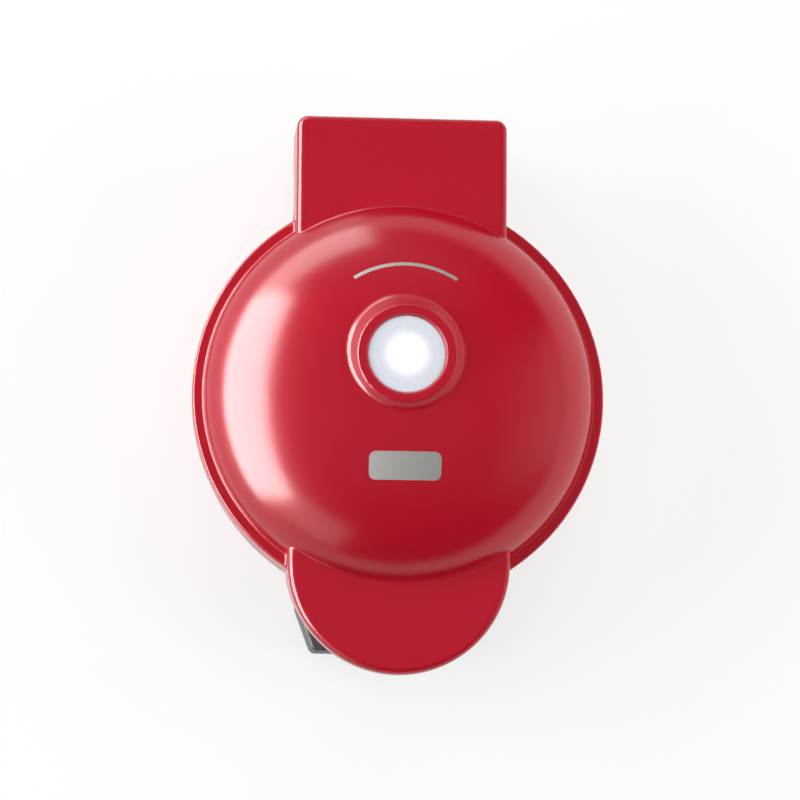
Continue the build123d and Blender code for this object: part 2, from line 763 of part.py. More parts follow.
# Reflector pan that closes the heater side of a plate.
def build_pan():
    def level(depth):
        return parting_height - depth

    top = ledge_depth + heat_gap
    under = pan_floor_depth + pan_sheet
    outline = [(pan_flange_outer, level(top)), (pan_top_radius, level(top)),
               (pan_floor_radius, level(pan_floor_depth)), (0, level(pan_floor_depth)), (0, level(under)),
               (pan_floor_radius + pan_sheet / 2, level(under)),
               (pan_top_radius + pan_sheet, level(top + pan_sheet)),
               (pan_flange_outer, level(top + pan_sheet)), (pan_flange_outer, level(top))]
    pan = revolve(Plane.XZ * make_face(Polyline(outline)), Axis.Z)
    for x, y in element_ends():
        hole = Cylinder(element_radius + element_hole_gap, parting_height - ledge_depth, align=stand)
        pan = pan - Pos(x, y, 0) * hole
    return pan


def element_ends():
    half = radians(element_opening / 2)
    across = element_circle * sin(half) - element_bend * cos(half)
    back = element_circle * cos(half) + element_bend * sin(half)
    return [(side * across, back) for side in (-1, 1)]


# Tubular heating element: a ring open at the rear whose two ends bend away from the plate.
def build_element():
    middle = parting_height - element_depth
    half = radians(element_opening / 2)
    bend = element_bend
    slant = bend * sin(radians(45))
    ends = []
    for side in (-1, 1):
        x = side * element_circle * sin(half)
        y = element_circle * cos(half)
        along_x = -side * cos(half)
        along_y = sin(half)
        first = (x, y, middle)
        turn = (x + along_x * slant, y + along_y * slant, middle - bend + slant)
        last = (x + along_x * bend, y + along_y * bend, middle - bend)
        tip = (last[0], last[1], middle - bend - element_leg)
        ends.append((first, turn, last, tip))
    left, right = ends
    front = (0, -element_circle, middle)
    path = Wire([Line(left[3], left[2]), ThreePointArc(left[2], left[1], left[0]),
                 ThreePointArc(left[0], front, right[0]),
                 ThreePointArc(right[0], right[1], right[2]), Line(right[2], right[3])])
    section = Plane(left[3], z_dir=(0, 0, 1)) * Circle(element_radius)
    tube = sweep(section, path=path)
    for end in ends:
        pin = Pos(*end[3]) * Cylinder(element_pin_radius, element_pin_length, align=hang)
        tube = tube + pin
    return tube


# Snap-action thermostat clamped under the pan, with two blade terminals.
def build_thermostat():
    top = pan_back - heat_gap
    body = Pos(0, 0, top) * Cylinder(thermostat_radius, thermostat_height, align=hang)
    body = fillet(body.edges().group_by(Axis.Z)[0], tab_inset)
    ear = Pos(0, 0, top - clip_sheet) * extrude(
        SlotOverall(2 * thermostat_ear_half, thermostat_ear_width), amount=clip_sheet)
    low = top - thermostat_height
    switch = body + ear
    for side in (-1, 1):
        middle = side * (thermostat_radius - tab_inset - tab_sheet / 2)
        switch = switch + box_between(middle - tab_sheet / 2, middle + tab_sheet / 2,
                                      -tab_width / 2, tab_width / 2, low - tab_length, top - clip_sheet)
    return switch


# Thermal fuse held against the pan by a wrapped clip.
def build_fuse():
    top = pan_back - heat_gap
    middle = top - clip_sheet - fuse_radius
    body = rod_along_x(fuse_radius, fuse_length / 2, fuse_back, middle)
    leads = rod_along_x(fuse_lead_radius, fuse_length / 2 + fuse_lead_length, fuse_back, middle)
    clip = box_between(-clip_width / 2, clip_width / 2, fuse_back - clip_reach, fuse_back, top - clip_sheet, top)
    band = rod_along_x(fuse_radius + clip_sheet, clip_width / 2, fuse_back, middle)
    return body + leads + clip + band


def build_frame_screw(angle):
    seat = parting_height - ledge_depth - screw_head_height / 2
    head = screw_spot(angle, seat) * Cylinder(screw_head_radius, screw_head_height / 2, align=stand)
    length = ledge_sheet - screw_head_height / 2 + screw_bite
    return head + screw_spot(angle, seat) * Cylinder(screw_radius, length, align=hang)


# Cover under the handle that follows the scooped underside and stops short of the latch housing.
def build_handle_liner():
    plan = Pos(0, 0, lid_bottom) * extrude(handle_plan(wall + seat_clearance), amount=deck_top - lid_bottom)
    liner = plan & side_extrusion(handle_outline(0), big / 2)
    liner = liner - side_extrusion(handle_outline(liner_thickness), big / 2)
    liner = liner - Cylinder(frame_outer_radius + seat_clearance, big)
    half = latch_box_half + seat_clearance
    return liner - box_between(-half, half, -latch_box_reach - seat_clearance, 0, 0, big)


# Frosted cap of the indicator window, held from below by a flange.
def build_lens():
    top_radius = lens_radius - lens_gap
    low = lens_seat - lens_sheet
    cap = Pos(0, lens_back, low) * Cylinder(top_radius, lens_top - low, align=stand)
    flange = Pos(0, lens_back, low) * Cylinder(lens_radius + lens_flange, lens_sheet, align=stand)
    hollow = Pos(0, lens_back, low) * Cylinder(top_radius - lens_sheet, lens_top - low - lens_sheet, align=stand)
    return cap + flange - hollow


def build_lamp_holder():
    outer = lens_radius + lens_flange
    tube = Cylinder(outer, lamp_holder_height, align=hang)
    tube = tube - Cylinder(outer - lens_sheet, lamp_holder_height, align=hang)
    return Pos(0, lens_back, lamp_holder_top) * tube


def build_lamp_board():
    board = Cylinder(lens_radius + lens_flange, lamp_board_sheet, align=hang)
    return Pos(0, lens_back, lamp_board_top) * board


def build_lamp(side):
    spot = Pos(side * lamp_spacing / 2, lens_back, lamp_board_top)
    body = Cylinder(lamp_radius, lamp_height - lamp_radius, align=stand)
    tip = Pos(0, 0, lamp_height - lamp_radius) * Sphere(lamp_radius)
    lamp = spot * (body + tip)
    return lamp - Pos(0, 0, lamp_board_top) * Box(big, big, big, align=hang)


def build_terminal_block():
    low = bowl_floor_height + wall
    back = block_reach - wall - cord_collar_depth - terminal_inset
    top = low + terminal_height
    block = box_between(-terminal_half_width, terminal_half_width, back - terminal_length, back, low, top)
    for step in (-1, 0, 1):
        spot = Pos(step * terminal_pitch, back - terminal_length / 2, top)
        block = block - spot * Cylinder(terminal_screw_radius, terminal_screw_depth, align=hang)
    return block


def upside_down(part):
    return Pos(0, 0, 2 * parting_height) * Rot(0, 180, 0) * part


def main():
    os.makedirs("parts", exist_ok=True)
    pieces = {
        "base_shell": build_base_shell(),
        "bottom_cover": build_bottom_cover(),
        "hinge_bracket": build_hinge_bracket(),
        "hinge_pin": build_hinge_pin(),
        "base_frame": build_frame(True),
        "lower_plate": build_plate(),
        "lower_heat_pan": build_pan(),
        "lower_element": build_element(),
        "lower_latch": build_latch(),
        "lower_latch_spring": build_spring(),
        "thermostat": build_thermostat(),
        "lower_fuse": build_fuse(),
        "terminal_block": build_terminal_block(),
        "lid_shell": build_lid_shell(),
        "lid_frame": upside_down(build_frame(False)),
        "handle_liner": build_handle_liner(),
        "upper_plate": upside_down(build_plate()),
        "upper_heat_pan": upside_down(build_pan()),
        "upper_element": upside_down(build_element()),
        "upper_latch": upside_down(build_latch()),
        "upper_latch_spring": upside_down(build_spring()),
        "upper_fuse": upside_down(build_fuse()),
        "indicator_lens": build_lens(),
        "lamp_holder": build_lamp_holder(),
        "lamp_board": build_lamp_board(),
        "indicator_lamp_left": build_lamp(-1),
        "indicator_lamp_right": build_lamp(1),
    }
    names = ("rear_right", "rear_left", "front_left", "front_right")
    for name, angle in zip(names, screw_angles):
        pieces["base_screw_" + name] = build_frame_screw(angle)
        pieces["lid_screw_" + name] = upside_down(build_frame_screw(180 - angle))
    for x, y in feet_spots():
        end = "rear" if y > 0 else "front"
        side = "right" if x > 0 else "left"
        pieces["rubber_foot_" + end + "_" + side] = build_foot(x, y)
    for name, piece in pieces.items():
        export_step(piece, "parts/" + name + ".step")
        print(name, round(piece.volume, 1), len(piece.solids()))


main()
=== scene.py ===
import json
from math import cos, pi, radians, sin, sqrt

import bmesh
import bpy
from mathutils import Matrix, Vector


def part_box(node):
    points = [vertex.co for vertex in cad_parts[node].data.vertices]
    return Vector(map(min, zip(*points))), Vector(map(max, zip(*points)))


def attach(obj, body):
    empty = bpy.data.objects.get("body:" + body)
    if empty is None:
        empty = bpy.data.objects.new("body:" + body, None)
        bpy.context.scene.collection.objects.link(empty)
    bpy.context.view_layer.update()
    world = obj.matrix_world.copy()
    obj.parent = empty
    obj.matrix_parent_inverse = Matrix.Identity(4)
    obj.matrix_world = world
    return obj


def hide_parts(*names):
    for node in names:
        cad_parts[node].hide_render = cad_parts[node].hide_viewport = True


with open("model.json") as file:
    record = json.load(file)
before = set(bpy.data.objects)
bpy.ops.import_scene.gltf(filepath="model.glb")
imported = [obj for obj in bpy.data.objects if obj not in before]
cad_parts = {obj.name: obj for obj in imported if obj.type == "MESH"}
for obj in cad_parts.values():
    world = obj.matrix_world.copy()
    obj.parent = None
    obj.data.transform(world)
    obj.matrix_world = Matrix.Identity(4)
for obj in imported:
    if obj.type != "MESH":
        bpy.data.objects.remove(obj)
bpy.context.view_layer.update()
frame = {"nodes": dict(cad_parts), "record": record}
nodes = frame["nodes"]
mm = 0.001
# edges that turn by more than this many degrees stay sharp
sharpTurn = {"turned": 38, "printed": 50, "copied": 30}
# seams up to this many millimetres wide are closed
seamMm = {"turned": 0.0005, "copied": 0.002}
# faces of a copy that turn by less than this many degrees are joined
flatTurn = 0.5
roundSteps = 2
# noise hardly leaves this span, so roughness is spread over it
noiseLow, noiseHigh = 0.3, 0.7
# sockets of a Mix node that mixes colours: its two inputs and its output
colorA, colorB, mixedColor = 6, 7, 2


# turns an sRGB hex colour into the linear one that Blender works in
def linearColor(hexText):
    channels = [int(hexText[i:i + 2], 16) / 255 for i in (1, 3, 5)]
    linear = [c / 12.92 if c <= 0.04045 else ((c + 0.055) / 1.055) ** 2.4 for c in channels]
    return (*linear, 1.0)


# adds one shader node with its settings and links; out names the output that is wanted back
def addNode(tree, kind, sockets=None, out=None, **settings):
    node = tree.nodes.new(kind)
    for name, value in settings.items():
        setattr(node, name, value)
    for name, value in (sockets or {}).items():
        if isinstance(value, bpy.types.NodeSocket):
            tree.links.new(value, node.inputs[name])
        else:
            node.inputs[name].default_value = value
    return node if out is None else node.outputs[out]


# starts a material: its shader with plain values, and the piece's own coordinates in metres
def startMaterial(name, shader):
    material = bpy.data.materials.new(name)
    material.use_nodes = True
    tree = material.node_tree
    tree.nodes.clear()
    surface = addNode(tree, "ShaderNodeBsdfPrincipled", shader)
    addNode(tree, "ShaderNodeOutputMaterial", {0: surface.outputs[0]})
    place = addNode(tree, "ShaderNodeTexCoord", out="Object")
    return material, tree, surface, place


# links what varies over the surface to the shader
def feed(tree, surface, sockets):
    for name, value in sockets.items():
        tree.links.new(value, surface.inputs[name])


def dress(piece, material):
    piece.data.materials.clear()
    piece.data.materials.append(material)


# turns a bmesh into a finished piece: smooth but for its sharp edges, on its body, in its slot
def makePiece(shape, name, body, material, sharpAngle=sharpTurn["turned"]):
    mesh = bpy.data.meshes.new(name)
    shape.to_mesh(mesh)
    shape.free()
    if "custom_normal" in mesh.attributes:
        mesh.attributes.remove(mesh.attributes["custom_normal"])
    mesh.shade_smooth()
    mesh.set_sharp_from_angle(angle=radians(sharpAngle))
    piece = bpy.data.objects.new(name, mesh)
    bpy.context.scene.collection.objects.link(piece)
    dress(piece, material)
    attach(piece, body)
    return piece


# spins an outline of (radius, height) pairs in millimetres about an upright axis
def spinOutline(outline, steps, turn=2 * pi):
    shape = bmesh.new()
    points = [shape.verts.new((radius * mm, 0, height * mm)) for radius, height in outline]
    sides = [shape.edges.new(pair) for pair in zip(points, points[1:])]
    bmesh.ops.spin(shape, geom=points + sides, cent=(0, 0, 0), axis=(0, 0, 1), angle=turn, steps=steps,
                   use_merge=turn == 2 * pi)
    bmesh.ops.remove_doubles(shape, verts=shape.verts, dist=seamMm["turned"] * mm)
    bmesh.ops.recalc_face_normals(shape, faces=shape.faces)
    return shape


# points of an arc in millimetres, for outlines
def arcPoints(centre, radius, start, end, steps):
    angles = [radians(start + (end - start) * i / steps) for i in range(steps + 1)]
    return [(centre[0] + radius * cos(a), centre[1] + radius * sin(a)) for a in angles]


# a copy of a CAD node's mesh with its seams closed
def mergedCopy(mesh):
    shape = bmesh.new()
    shape.from_mesh(mesh)
    bmesh.ops.remove_doubles(shape, verts=shape.verts, dist=seamMm["copied"] * mm)
    return shape


# joins faces that lie in one plane, so that a bevel finds whole edges
def joinFlats(shape):
    bmesh.ops.dissolve_limit(shape, angle_limit=radians(flatTurn), verts=shape.verts, edges=shape.edges)


# rounds the sharp edges of a copy, as moulding and casting leave them
def roundEdges(piece, radiusMm):
    rounding = piece.modifiers.new("edgeRounding", "BEVEL")
    rounding.width = radiusMm * mm
    rounding.segments = roundSteps
    rounding.limit_method = "ANGLE"
    rounding.angle_limit = radians(sharpTurn["copied"])
    rounding.harden_normals = True


# lower_plate becomes lowerPlate
def camelName(nodeName):
    words = nodeName.split("_")
    return words[0] + "".join(word.title() for word in words[1:])


glossRed = {"deep": "#B20B23", "light": "#BA0D27", "driftMm": 30, "rippleMm": 1.6, "rippleDeepMm": 0.004,
            "roughness": 0.21, "ior": 1.54}


# ABS, injection moulded in a polished tool: an even red with a wet gloss, whose highlights are broad
# and soft at their edges because of a ripple that is too shallow to see
def makeGlossRed():
    look = glossRed
    material, tree, surface, place = startMaterial("absPolishedRed", {
        "Roughness": look["roughness"], "IOR": look["ior"]})
    drift = addNode(tree, "ShaderNodeTexNoise", {"Vector": place, "Scale": 1 / (look["driftMm"] * mm)}, 0)
    ripple = addNode(tree, "ShaderNodeTexNoise", {
        "Vector": place, "Scale": 1 / (look["rippleMm"] * mm), "Detail": 1.0}, 0)
    feed(tree, surface, {
        "Base Color": addNode(tree, "ShaderNodeMix", {
            "Factor": drift, colorA: linearColor(look["deep"]),
            colorB: linearColor(look["light"])}, mixedColor, data_type="RGBA"),
        "Normal": addNode(tree, "ShaderNodeBump", {"Height": ripple, "Distance": look["rippleDeepMm"] * mm}, 0)})
    return material


texturedPlastics = {
    # glass-filled polypropylene, moulded in a spark-eroded tool: charcoal, dull, with a fine pebble
    "polypropyleneCharcoal": {"deep": "#37393C", "light": "#404347", "smooth": 0.42, "rough": 0.6, "ior": 1.49},
    # polyamide, moulded in a finer tool: nearly black, a little shinier where fingers pull it
    "polyamideBlack": {"deep": "#232426", "light": "#2B2C2E", "smooth": 0.38, "rough": 0.55, "ior": 1.53},
}
# the real pebble is 0.15 mm wide; it is drawn at 0.45 mm so that it shows
pebble = {"wideMm": 0.45, "deepMm": 0.05, "relief": 0.6, "cloudMm": 14}


def makeTexturedPlastic(name):
    look = texturedPlastics[name]
    material, tree, surface, place = startMaterial(name, {"IOR": look["ior"]})
    pebbles = addNode(tree, "ShaderNodeTexNoise", {
        "Vector": place, "Scale": 1 / (pebble["wideMm"] * mm), "Detail": 3.0, "Roughness": 0.6}, 0)
    cloud = addNode(tree, "ShaderNodeTexNoise", {"Vector": place, "Scale": 1 / (pebble["cloudMm"] * mm)}, 0)
    feed(tree, surface, {
        "Base Color": addNode(tree, "ShaderNodeMix", {
            "Factor": cloud, colorA: linearColor(look["deep"]),
            colorB: linearColor(look["light"])}, mixedColor, data_type="RGBA"),
        "Roughness": addNode(tree, "ShaderNodeMapRange", {
            "Value": pebbles, "From Min": noiseLow, "From Max": noiseHigh,
            "To Min": look["smooth"], "To Max": look["rough"]}, 0),
        "Normal": addNode(tree, "ShaderNodeBump", {
            "Height": pebbles, "Distance": pebble["deepMm"] * mm, "Strength": pebble["relief"]}, 0)})
    return material


gridCoating = {"deep": "#29292B", "light": "#3A3A3C", "fleck": "#8B8A88", "mistMm": 0.5, "mistDeepMm": 0.03,
               "relief": 0.7, "fleckApartMm": 0.9, "fleckShare": 0.42, "fleckCore": 0.1, "fleckEdge": 0.2,
               "smooth": 0.36, "rough": 0.5}


# PTFE sprayed on die-cast aluminium and baked: nearly black and satin, with pale mineral flecks.
# The real flecks are about 0.1 mm; they are drawn at 0.2 mm so that they show
def makeGridCoating():
    look = gridCoating
    material, tree, surface, place = startMaterial("ptfeSprayedCasting", {
        "IOR": 1.4, "Coat Weight": 0.25, "Coat Roughness": 0.3})
    mist = addNode(tree, "ShaderNodeTexNoise", {
        "Vector": place, "Scale": 1 / (look["mistMm"] * mm), "Detail": 4.0, "Roughness": 0.65}, 0)
    cells = addNode(tree, "ShaderNodeTexVoronoi", {"Vector": place, "Scale": 1 / (look["fleckApartMm"] * mm)})
    near = addNode(tree, "ShaderNodeMapRange", {
        "Value": cells.outputs["Distance"], "From Min": look["fleckCore"], "From Max": look["fleckEdge"],
        "To Min": 1.0, "To Max": 0.0}, 0)
    draw = addNode(tree, "ShaderNodeSeparateColor", {0: cells.outputs["Color"]}, 0)
    chosen = addNode(tree, "ShaderNodeMath", {0: draw, 1: 1 - look["fleckShare"]}, 0, operation="GREATER_THAN")
    fleck = addNode(tree, "ShaderNodeMath", {0: near, 1: chosen}, 0, operation="MULTIPLY")
    ground = addNode(tree, "ShaderNodeMix", {
        "Factor": mist, colorA: linearColor(look["deep"]),
        colorB: linearColor(look["light"])}, mixedColor, data_type="RGBA")
    feed(tree, surface, {
        "Base Color": addNode(tree, "ShaderNodeMix", {
            "Factor": fleck, colorA: ground, colorB: linearColor(look["fleck"])}, mixedColor,
            data_type="RGBA"),
        "Roughness": addNode(tree, "ShaderNodeMapRange", {
            "Value": mist, "From Min": noiseLow, "From Max": noiseHigh,
            "To Min": look["smooth"], "To Max": look["rough"]}, 0),
        "Normal": addNode(tree, "ShaderNodeBump", {
            "Height": mist, "Distance": look["mistDeepMm"] * mm, "Strength": look["relief"]}, 0)})
    return material


metals = {
    # spring and shaft steel, drawn through a die: bright, with lines along the wire
    "springSteelDrawn": {"deep": "#BDBDBB", "light": "#CFCFCD", "smooth": 0.18, "rough": 0.34, "lineMm": 0.6,
                         "deepMm": 0.01, "lay": (0.1, 1, 1)},
    # steel screws, barrel plated with zinc: grey-white, a little clouded
    "zincPlatedScrew": {"deep": "#B4B6B2", "light": "#C6C8C4", "smooth": 0.28, "rough": 0.42, "lineMm": 0.5,
                        "deepMm": 0.01, "lay": (1, 1, 1)},
    # stainless heater sheath, annealed: brownish grey and dull from the heat
    "heaterSheathSteel": {"deep": "#77726B", "light": "#918B82", "smooth": 0.4, "rough": 0.55, "lineMm": 0.7,
                          "deepMm": 0.015, "lay": (1, 1, 1)},
    # aluminium sheet, rolled and pressed: pale, with the rolling lines running one way
    "aluminiumPressed": {"deep": "#C9CACB", "light": "#D8D9DA", "smooth": 0.32, "rough": 0.5, "lineMm": 0.5,
                         "deepMm": 0.012, "lay": (0.08, 1, 1)},
    # thermal fuse case, tin plated copper: soft grey with a warm cast
    "tinPlatedFuse": {"deep": "#B9B4A6", "light": "#CBC7BB", "smooth": 0.3, "rough": 0.45, "lineMm": 0.6,
                      "deepMm": 0.01, "lay": (1, 1, 1)},
}


metalForm = {"relief": 0.4, "dullingMm": 6}


def makeMetal(name):
    look = metals[name]
    material, tree, surface, place = startMaterial(name, {"Metallic": 1.0})
    laid = addNode(tree, "ShaderNodeMapping", {"Vector": place, "Scale": look["lay"]}, 0)
    lines = addNode(tree, "ShaderNodeTexNoise", {
        "Vector": laid, "Scale": 1 / (look["lineMm"] * mm), "Detail": 3.0, "Roughness": 0.7}, 0)
    dulling = addNode(tree, "ShaderNodeTexNoise", {
        "Vector": place, "Scale": 1 / (metalForm["dullingMm"] * mm), "Detail": 3.0}, 0)
    feed(tree, surface, {
        "Base Color": addNode(tree, "ShaderNodeMix", {
            "Factor": dulling, colorA: linearColor(look["deep"]),
            colorB: linearColor(look["light"])}, mixedColor, data_type="RGBA"),
        "Roughness": addNode(tree, "ShaderNodeMapRange", {
            "Value": lines, "From Min": noiseLow, "From Max": noiseHigh,
            "To Min": look["smooth"], "To Max": look["rough"]}, 0),
        "Normal": addNode(tree, "ShaderNodeBump", {
            "Height": lines, "Distance": look["deepMm"] * mm, "Strength": metalForm["relief"]}, 0)})
    return material


mattes = {
    # steatite thermostat body, fired without a glaze: off-white, chalky, faintly speckled
    "steatiteFired": {"deep": "#CFC9BB", "light": "#DDD8CC", "roughness": 0.62, "ior": 1.6, "mottleMm": 1.2,
                      "deepMm": 0.02},
    # polyamide terminal block, moulded: milky white with a low sheen
    "polyamideWhite": {"deep": "#DEDDD5", "light": "#E9E8E1", "roughness": 0.48, "ior": 1.53, "mottleMm": 2.0,
                       "deepMm": 0.01},
    # polycarbonate lamp holder, moulded: plain white, satin
    "polycarbonateWhite": {"deep": "#E3E2DD", "light": "#ECEBE7", "roughness": 0.4, "ior": 1.58, "mottleMm": 3.0,
                           "deepMm": 0.01},
    # silicone rubber feet, compression moulded: soft black that swallows the light
    "siliconeRubberBlack": {"deep": "#1B1B1C", "light": "#262627", "roughness": 0.82, "ior": 1.42,
                            "mottleMm": 0.6, "deepMm": 0.04},
}


mottleRelief = 0.5


def makeMatte(name):
    look = mattes[name]
    material, tree, surface, place = startMaterial(name, {"Roughness": look["roughness"], "IOR": look["ior"]})
    mottle = addNode(tree, "ShaderNodeTexNoise", {
        "Vector": place, "Scale": 1 / (look["mottleMm"] * mm), "Detail": 3.0}, 0)
    feed(tree, surface, {
        "Base Color": addNode(tree, "ShaderNodeMix", {
            "Factor": mottle, colorA: linearColor(look["deep"]),
            colorB: linearColor(look["light"])}, mixedColor, data_type="RGBA"),
        "Normal": addNode(tree, "ShaderNodeBump", {
            "Height": mottle, "Distance": look["deepMm"] * mm, "Strength": mottleRelief}, 0)})
    return material


# glass-epoxy circuit board under green resist: the woven cloth shows through as a fine check.
# The real yarns are 0.5 mm apart; they are drawn 1.2 mm apart so that they show
boardGreen = {"deep": "#1E4A30", "light": "#2C6542", "yarnMm": 1.2, "yarnDeepMm": 0.02, "relief": 0.5}


def makeBoardGreen():
    look = boardGreen
    material, tree, surface, place = startMaterial("glassEpoxyGreen", {"Roughness": 0.35, "IOR": 1.55})
    across, along = [addNode(tree, "ShaderNodeTexWave", {
        "Vector": place, "Scale": 1 / (look["yarnMm"] * mm)}, 1, bands_direction=way) for way in "XY"]
    cloth = addNode(tree, "ShaderNodeMath", {0: across, 1: along}, 0, operation="MULTIPLY")
    feed(tree, surface, {
        "Base Color": addNode(tree, "ShaderNodeMix", {
            "Factor": cloth, colorA: linearColor(look["deep"]),
            colorB: linearColor(look["light"])}, mixedColor, data_type="RGBA"),
        "Normal": addNode(tree, "ShaderNodeBump", {
            "Height": cloth, "Distance": look["yarnDeepMm"] * mm, "Strength": look["relief"]}, 0)})
    return material


# hot and cool are shares of the radius: the painted glow is all lamp white inside the first and takes its dim
# edge colour from the second
windowGlow = {"centreMm": (0.0, 9.0), "radiusMm": 12.4, "hot": 0.16, "cool": 0.74, "lampWhite": "#F4F6FA",
              "edgeTint": "#8D8F96", "deep": "#ABAFB7", "light": "#B5B9C1", "frostMm": 0.5, "frostDeepMm": 0.01,
              "relief": 0.4}


# polycarbonate, frosted in the tool; the light of the two lamps below it is painted on as a glow, white in the
# middle and dimmer and greyer towards the edge
def makeFrostedLens():
    look = windowGlow
    material, tree, surface, place = startMaterial("polycarbonateFrosted", {
        "Roughness": 0.42, "IOR": 1.585, "Emission Strength": 1.0})
    centred = addNode(tree, "ShaderNodeMapping", {
        "Vector": place, "Location": (-look["centreMm"][0] * mm, -look["centreMm"][1] * mm, 0),
        "Scale": (1, 1, 0)}, 0)
    away = addNode(tree, "ShaderNodeVectorMath", {0: centred}, "Value", operation="LENGTH")
    share = addNode(tree, "ShaderNodeMath", {0: away, 1: look["radiusMm"] * mm}, 0, operation="DIVIDE")
    frost = addNode(tree, "ShaderNodeTexNoise", {"Vector": place, "Scale": 1 / (look["frostMm"] * mm)}, 0)
    # painted glow: the lamps' light through the lens, as emission that fades from the middle to the edge
    ramp = addNode(tree, "ShaderNodeValToRGB", {0: share})
    ramp.color_ramp.interpolation = "EASE"
    for stop, at, tint in zip(ramp.color_ramp.elements, ("hot", "cool"), ("lampWhite", "edgeTint")):
        stop.position = look[at]
        stop.color = linearColor(look[tint])
    feed(tree, surface, {
        "Base Color": addNode(tree, "ShaderNodeMix", {
            "Factor": frost, colorA: linearColor(look["deep"]),
            colorB: linearColor(look["light"])}, mixedColor, data_type="RGBA"),
        "Emission Color": ramp.outputs[0],
        "Normal": addNode(tree, "ShaderNodeBump", {
            "Height": frost, "Distance": look["frostDeepMm"] * mm, "Strength": look["relief"]}, 0)})
    return material


silverPrint = {"deep": "#A3A09D", "light": "#BDBBB8", "flakeMm": 0.35, "smooth": 0.38, "rough": 0.55}


# silver ink, pad printed: a flat light grey with tiny flakes that catch the light.
# The real flakes are 0.02 mm; they are drawn at 0.35 mm so that they show
def makeSilverInk():
    look = silverPrint
    material, tree, surface, place = startMaterial("silverPadPrint", {"Metallic": 0.55, "IOR": 1.5})
    flakes = addNode(tree, "ShaderNodeTexNoise", {
        "Vector": place, "Scale": 1 / (look["flakeMm"] * mm), "Detail": 3.0, "Roughness": 0.7}, 0)
    feed(tree, surface, {
        "Base Color": addNode(tree, "ShaderNodeMix", {
            "Factor": flakes, colorA: linearColor(look["deep"]),
            colorB: linearColor(look["light"])}, mixedColor, data_type="RGBA"),
        "Roughness": addNode(tree, "ShaderNodeMapRange", {
            "Value": flakes, "From Min": noiseLow, "From Max": noiseHigh,
            "To Min": look["smooth"], "To Max": look["rough"]}, 0)})
    return material


lampClear = {"deep": "#DCE6F2", "light": "#F2F6FC", "hazeMm": 3}


# clear epoxy lamps, cast: glassy, with a cool cast
def makeLampClear():
    look = lampClear
    material, tree, surface, place = startMaterial("epoxyClearLamp", {
        "Roughness": 0.08, "IOR": 1.5, "Transmission Weight": 0.85})
    haze = addNode(tree, "ShaderNodeTexNoise", {"Vector": place, "Scale": 1 / (look["hazeMm"] * mm)}, 0)
    feed(tree, surface, {"Base Color": addNode(tree, "ShaderNodeMix", {
        "Factor": haze, colorA: linearColor(look["deep"]),
        colorB: linearColor(look["light"])}, mixedColor, data_type="RGBA")})
    return material


# what each material slot of the record is made of
finish = {
    "red_housing": makeGlossRed(),
    "dark_trim": makeTexturedPlastic("polypropyleneCharcoal"),
    "dark_latch": makeTexturedPlastic("polyamideBlack"),
    "grid_coating": makeGridCoating(),
    "steel": makeMetal("springSteelDrawn"),
    "screw_steel": makeMetal("zincPlatedScrew"),
    "heater_steel": makeMetal("heaterSheathSteel"),
    "pan_aluminium": makeMetal("aluminiumPressed"),
    "control_ceramic": makeMatte("steatiteFired"),
    "fuse_body": makeMetal("tinPlatedFuse"),
    "terminal_white": makeMatte("polyamideWhite"),
    "frosted_lens": makeFrostedLens(),
    "white_inner": makeMatte("polycarbonateWhite"),
    "board_green": makeBoardGreen(),
    "lamp_clear": makeLampClear(),
    "foot_rubber": makeMatte("siliconeRubberBlack"),
}
silverInk = makeSilverInk()
for part in frame["record"]["subparts"]:
    dress(nodes[part["node"]], finish[part["material_slot"]])
print("materials made")


# the window in the collar: slightly crowned, with a rounded edge and a flange; in millimetres
windowLens = {"radius": 12.35, "crown": 0.25, "crownSteps": 12, "edge": 0.45, "edgeSteps": 5, "wall": 1.4,
              "flange": 2.0, "back": 9.0, "steps": 128}


def makeWindowLens():
    size = windowLens
    low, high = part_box("indicator_lens")
    top = high.z / mm
    bottom = low.z / mm
    radius = size["radius"]
    edge = size["edge"]
    inner = radius - size["wall"]
    shoulder = top - size["crown"]
    steps = size["crownSteps"]
    crown = [(radius * i / steps - edge * i / steps, shoulder + size["crown"] * (1 - (i / steps) ** 2))
             for i in range(steps + 1)]
    rim = arcPoints((radius - edge, shoulder - edge), edge, 90, 0, size["edgeSteps"])[1:]
    skirt = [(radius, bottom + size["wall"]), (radius + size["flange"], bottom + size["wall"]),
             (radius + size["flange"], bottom), (inner, bottom), (inner, shoulder - size["wall"]),
             (0, shoulder - size["wall"])]
    shape = spinOutline(crown + rim + skirt, size["steps"])
    bmesh.ops.translate(shape, verts=shape.verts, vec=(0, size["back"] * mm, 0))
    piece = makePiece(shape, "windowLens", "lid", finish["frosted_lens"])
    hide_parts("indicator_lens")


makeWindowLens()
print("window made")


# the dome is half an ellipse turned about the upright axis; in millimetres
domeForm = {"foot": 63.7, "rise": 31.0, "level": 52.0}


def domeHeight(x, y):
    form = domeForm
    share = min(1.0, (x * x + y * y) / (form["foot"] * mm) ** 2)
    return (form["level"] + form["rise"] * sqrt(1 - share)) * mm


# drops a flat mark onto the dome: its underside just inside the surface, its top proud of it
def layOnDome(shape):
    for vert in shape.verts:
        vert.co.z = domeHeight(vert.co.x, vert.co.y) + vert.co.z


# plain silver marks printed on the dome; an edge that rises less than level isn't an upright one
badge = {"length": 23.2, "height": 9.0, "corner": 2.2, "cornerSteps": 8, "thick": 0.09, "sunk": 0.05,
         "centre": (0.0, -26.4), "cut": 1.0, "level": 0.01}


